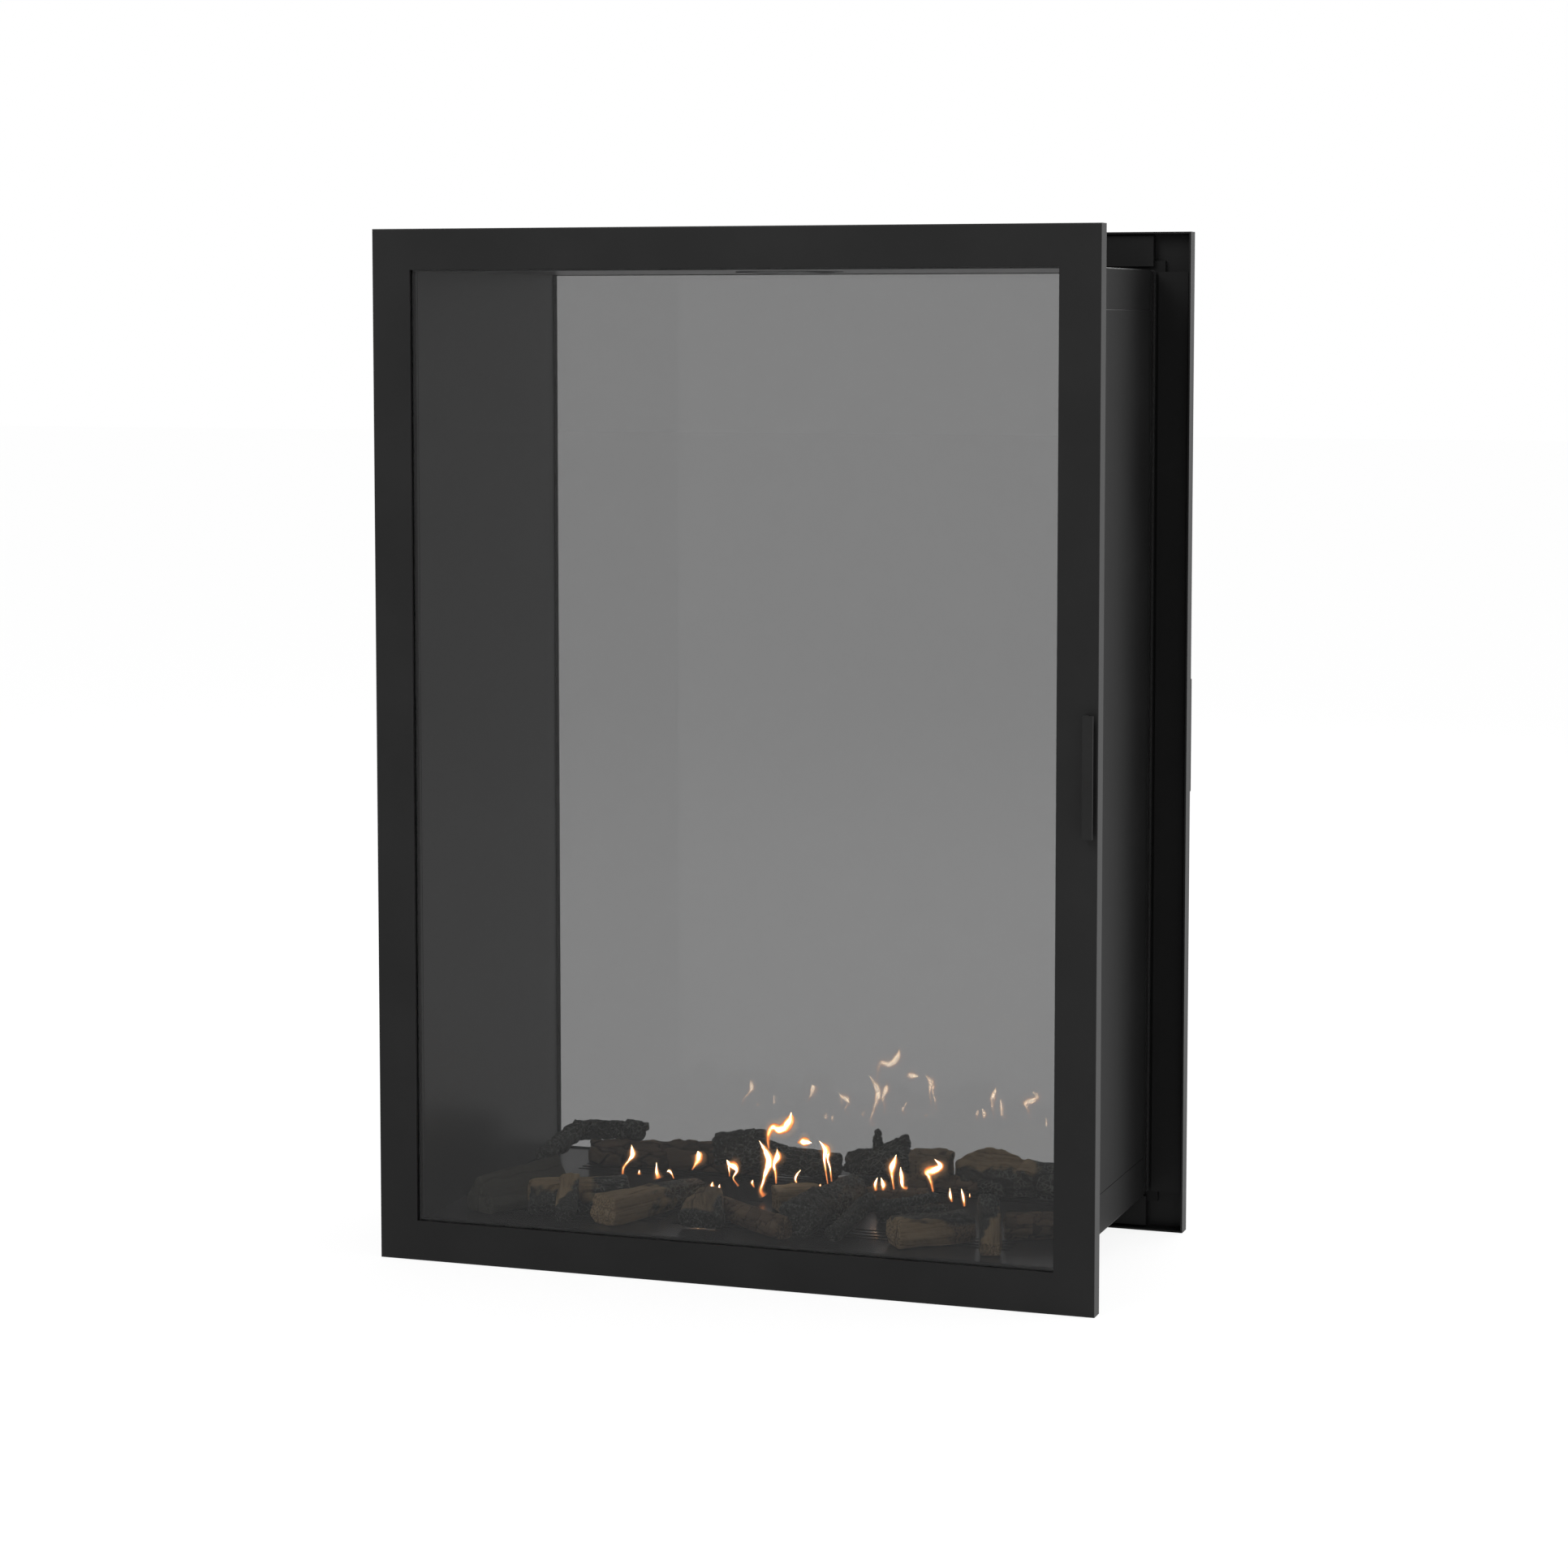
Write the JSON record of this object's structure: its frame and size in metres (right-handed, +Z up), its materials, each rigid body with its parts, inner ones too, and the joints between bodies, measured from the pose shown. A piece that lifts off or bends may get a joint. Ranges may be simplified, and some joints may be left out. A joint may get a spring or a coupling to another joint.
{
  "type": "double_sided_fireplace",
  "caption": "Built-in see-through gas log fire with a tall black glazed leaf hung on pivots at each face, a slotted burner deck and a ceramic log set",
  "frame": {"origin": "middle of the underside of the plinth tray, which stands on the sill of the wall opening", "axes": "+X towards the leaves' free side, +Y from the front leaf to the rear leaf, +Z up"},
  "size_m": [0.79, 0.434, 1.1],
  "materials": {
    "frame_black": "matte",
    "casing_black": "matte",
    "liner_black": "satin",
    "deck_black": "satin",
    "plain_steel": "satin",
    "seal_black": "matte",
    "handle_black": "satin",
    "pane_glass": "gloss",
    "log_bark": "matte",
    "log_split": "matte",
    "log_char": "matte"
  },
  "bodies": {
    "firebox": {"front_rope_seal": "seal_black", "front_hinge_bracket_top": "plain_steel", "front_hinge_bracket_bottom": "plain_steel", "front_magnetic_catch": "casing_black", "rear_rope_seal": "seal_black", "rear_hinge_bracket_top": "plain_steel", "rear_hinge_bracket_bottom": "plain_steel", "rear_magnetic_catch": "casing_black", "casing_top": "casing_black", "casing_base": "casing_black", "casing_side_right": "casing_black", "casing_side_left": "casing_black", "lining_right": "liner_black", "lining_left": "liner_black", "lining_ceiling": "liner_black", "air_deck_front": "deck_black", "air_deck_rear": "deck_black", "burner_deck": "deck_black", "burner_trough": "plain_steel", "gas_pipe": "plain_steel", "plinth_tray": "casing_black", "flue_collar": "plain_steel", "flue_spigot": "plain_steel", "pilot_burner": "plain_steel", "log_split_large": "log_split", "log_bark_long": "log_bark", "log_split_left": "log_split", "log_split_pale": "log_split", "log_split_short": "log_split", "log_split_block": "log_split", "log_char_round": "log_char", "log_char_low": "log_char", "log_split_front": "log_split", "log_bark_right": "log_bark", "log_bark_block": "log_bark", "log_bark_rear": "log_bark", "log_bark_middle": "log_bark", "log_split_peak": "log_split", "log_char_rear": "log_char", "log_char_stubs": "log_char", "log_char_fork": "log_char", "log_split_leaning": "log_split", "log_bark_front": "log_bark", "log_char_thin_fork": "log_char", "log_split_upright": "log_split"},
    "front_leaf": {"front_leaf_frame": "frame_black", "front_pane": "pane_glass", "front_glazing_bar_top": "casing_black", "front_glazing_bar_bottom": "casing_black", "front_glazing_bar_left": "casing_black", "front_glazing_bar_right": "casing_black", "front_handle": "handle_black"},
    "rear_leaf": {"rear_leaf_frame": "frame_black", "rear_pane": "pane_glass", "rear_glazing_bar_top": "casing_black", "rear_glazing_bar_bottom": "casing_black", "rear_glazing_bar_left": "casing_black", "rear_glazing_bar_right": "casing_black", "rear_handle": "handle_black"}
  },
  "joints": [
    {"name": "front_leaf_pivot", "type": "hinge", "parent": "firebox", "child": "front_leaf", "pos_m": [-0.383, -0.192, 0.54], "axis": [0, 0, -1], "range_deg": [0, 90]},
    {"name": "rear_leaf_pivot", "type": "hinge", "parent": "firebox", "child": "rear_leaf", "pos_m": [-0.383, 0.192, 0.54], "axis": [0, 0, 1], "range_deg": [0, 90]}
  ]
}
